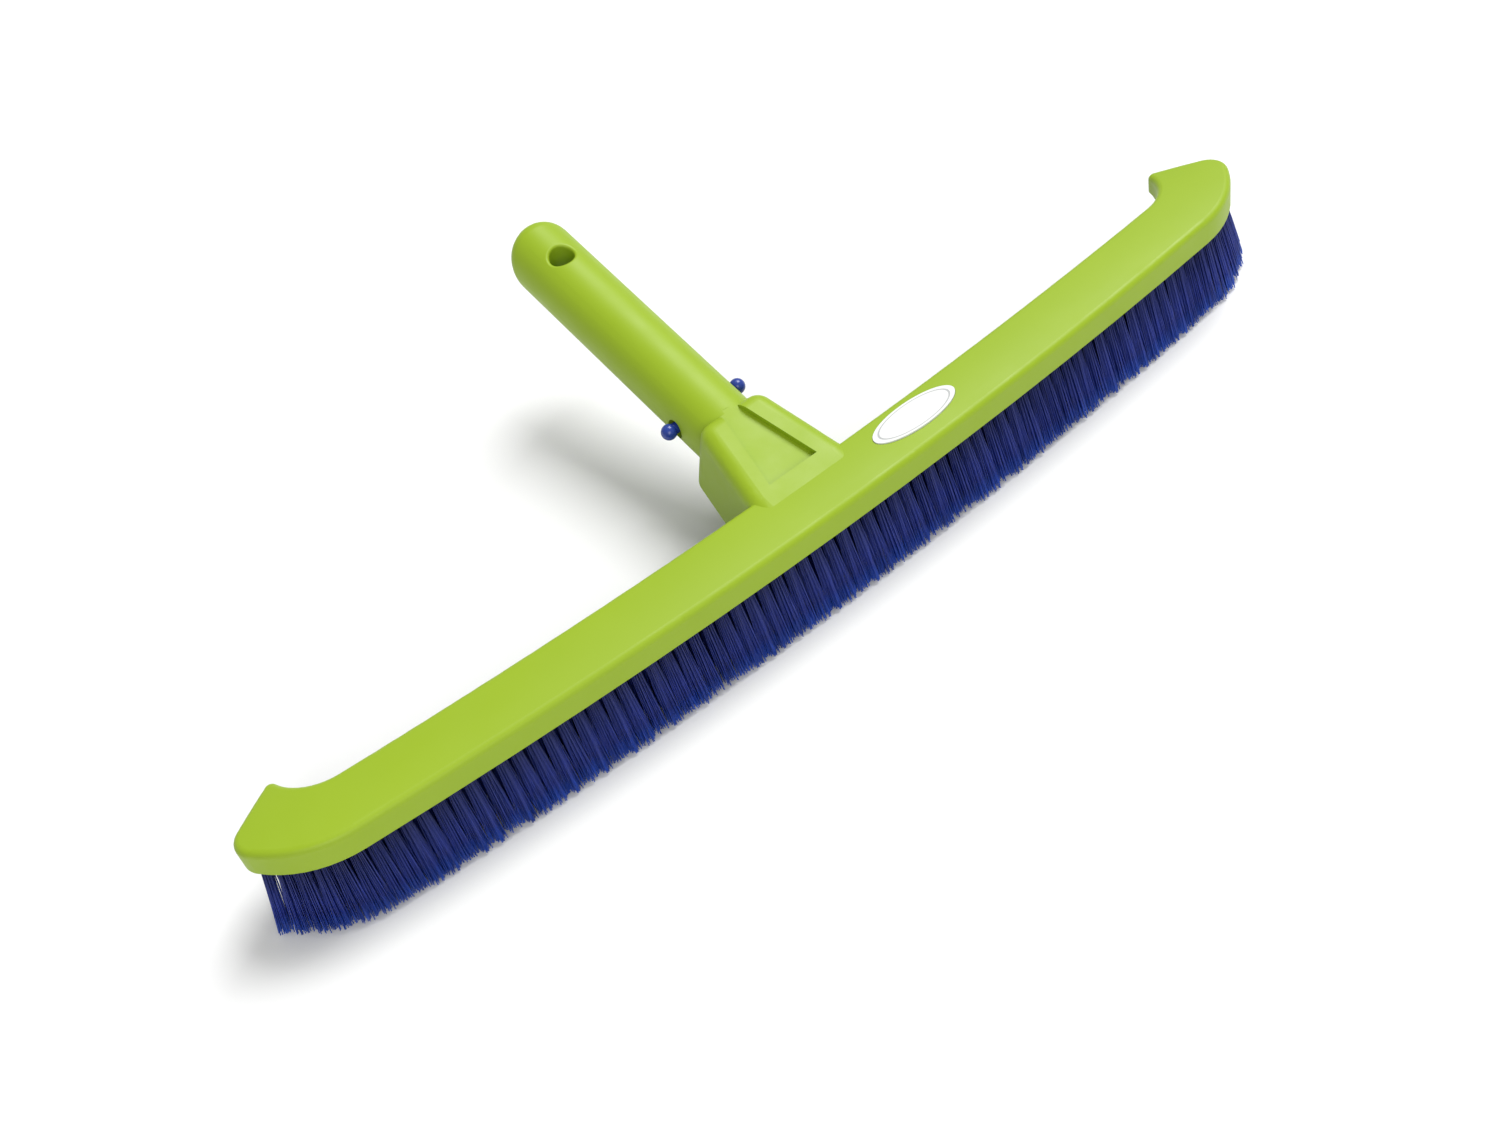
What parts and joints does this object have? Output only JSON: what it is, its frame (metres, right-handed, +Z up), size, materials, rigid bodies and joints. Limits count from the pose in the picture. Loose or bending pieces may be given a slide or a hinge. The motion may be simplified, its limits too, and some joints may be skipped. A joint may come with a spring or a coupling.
{
  "type": "pool wall brush",
  "caption": "Wide pool wall brush with swept ends, leaning bristle rows, a hollow pole spigot with side snap buttons, a hang hole and a blank oval badge.",
  "frame": {"origin": "middle of the whole brush's bounding box in X and Y, at the height of the bristle tips", "axes": "+X along the brush, +Y from the scrubbing front to the pole end, +Z up from the bristle tips"},
  "size_m": [0.464, 0.1928, 0.0764],
  "materials": {
    "green_plastic": "semi-matt moulded polypropylene, lime green",
    "badge_plastic": "plain white oval plate",
    "clip_plastic": "smooth moulded acetal, blue",
    "bristle_nylon": "bundles of fine nylon bristle, deep blue",
    "anchor_metal": "plain drawn wire"
  },
  "bodies": {
    "brush": {"body": "green_plastic", "badge": "badge_plastic", "clip_bow": "clip_plastic", "bristle_row_1": "bristle_nylon", "bristle_row_2": "bristle_nylon", "bristle_row_3": "bristle_nylon", "bristle_row_4": "bristle_nylon", "anchor_row_1": "anchor_metal", "anchor_row_2": "anchor_metal", "anchor_row_3": "anchor_metal", "anchor_row_4": "anchor_metal"},
    "arm_left": {"clip_arm_left": "clip_plastic"},
    "arm_right": {"clip_arm_right": "clip_plastic"}
  },
  "joints": [
    {"name": "button_left", "type": "hinge", "parent": "brush", "child": "arm_left", "pos_m": [-0.006, 0.0313, 0.04847], "axis": [0, -0.2267, 0.974], "range_deg": [0, 7.2], "stiffness_Nm_per_rad": 3.3},
    {"name": "button_right", "type": "hinge", "parent": "brush", "child": "arm_right", "pos_m": [0.006, 0.0313, 0.04847], "axis": [0, -0.2267, 0.974], "range_deg": [-7.2, 0], "stiffness_Nm_per_rad": 3.3}
  ]
}
